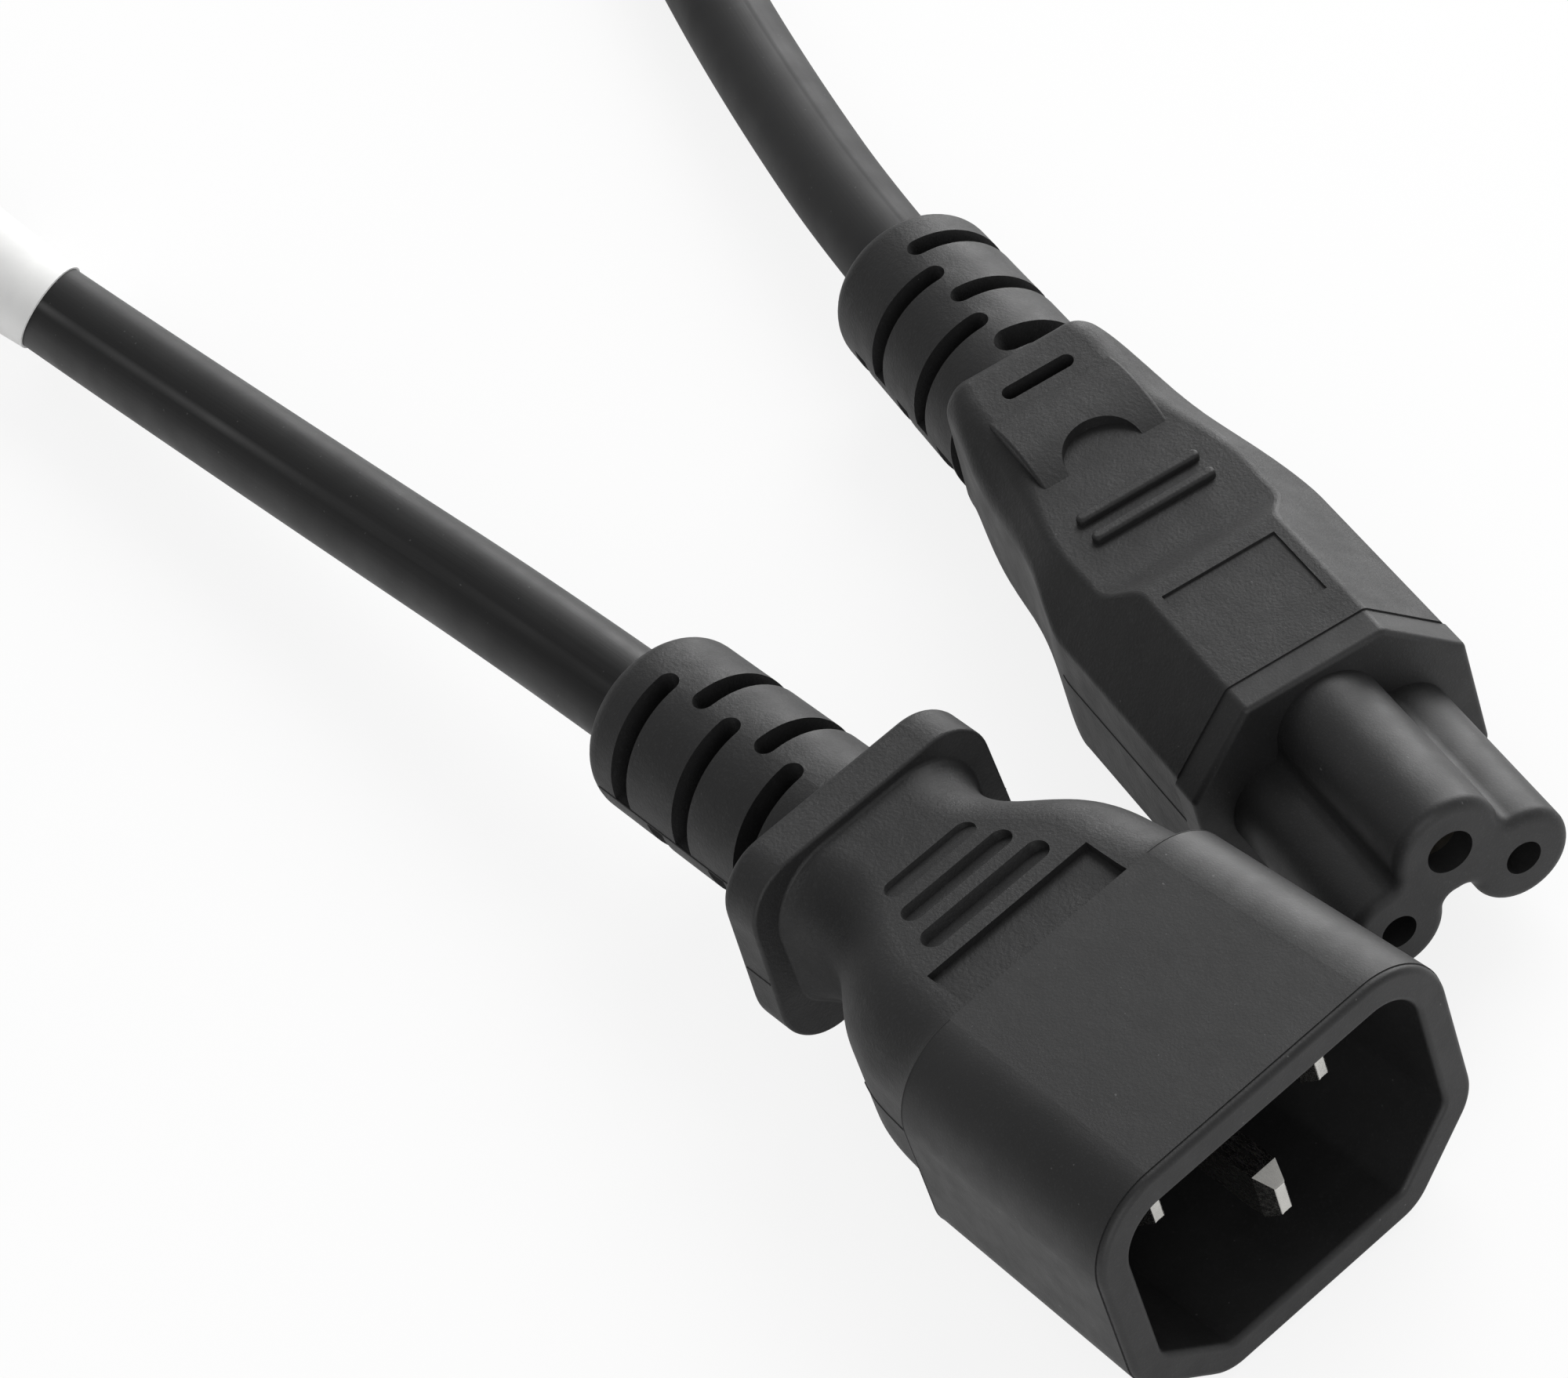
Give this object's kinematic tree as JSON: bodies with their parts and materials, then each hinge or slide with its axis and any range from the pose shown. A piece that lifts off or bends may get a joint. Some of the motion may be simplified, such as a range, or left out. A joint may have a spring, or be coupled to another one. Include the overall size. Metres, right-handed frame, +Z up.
{
  "type": "power adapter cable",
  "caption": "Dark grey mains adapter lead with a flat-pin inlet plug, a cloverleaf connector and a round cord.",
  "frame": {"origin": "middle of the plug shroud's flat underside, on the surface that the lead lies on", "axes": "+Z up; +X out of the plug's mating face; +Y towards the connector's side"},
  "size_m": [0.2344, 0.0966, 0.0209],
  "materials": {
    "shell_plastic": "matte",
    "insert_plastic": "matte",
    "grip_pvc": "matte moulded",
    "cord_jacket": "semi-gloss",
    "label_film": "matte",
    "pin_metal": "nickel plated",
    "contact_metal": "satin",
    "copper": "bare",
    "core_line": "smooth",
    "core_neutral": "smooth",
    "core_earth": "smooth"
  },
  "bodies": {
    "root": {"cable_label": "label_film", "connector_earth_contact": "contact_metal", "connector_earth_insulation": "core_earth", "connector_earth_strands": "copper", "connector_grip": "grip_pvc", "connector_insert": "insert_plastic", "connector_line_contact": "contact_metal", "connector_line_insulation": "core_line", "connector_line_strands": "copper", "connector_neutral_contact": "contact_metal", "connector_neutral_insulation": "core_neutral", "connector_neutral_strands": "copper", "cord": "cord_jacket", "plug_earth_insulation": "core_earth", "plug_earth_pin": "pin_metal", "plug_earth_strands": "copper", "plug_grip": "grip_pvc", "plug_line_insulation": "core_line", "plug_line_pin": "pin_metal", "plug_line_strands": "copper", "plug_neutral_insulation": "core_neutral", "plug_neutral_pin": "pin_metal", "plug_neutral_strands": "copper", "plug_shroud": "shell_plastic"}
  },
  "joints": []
}
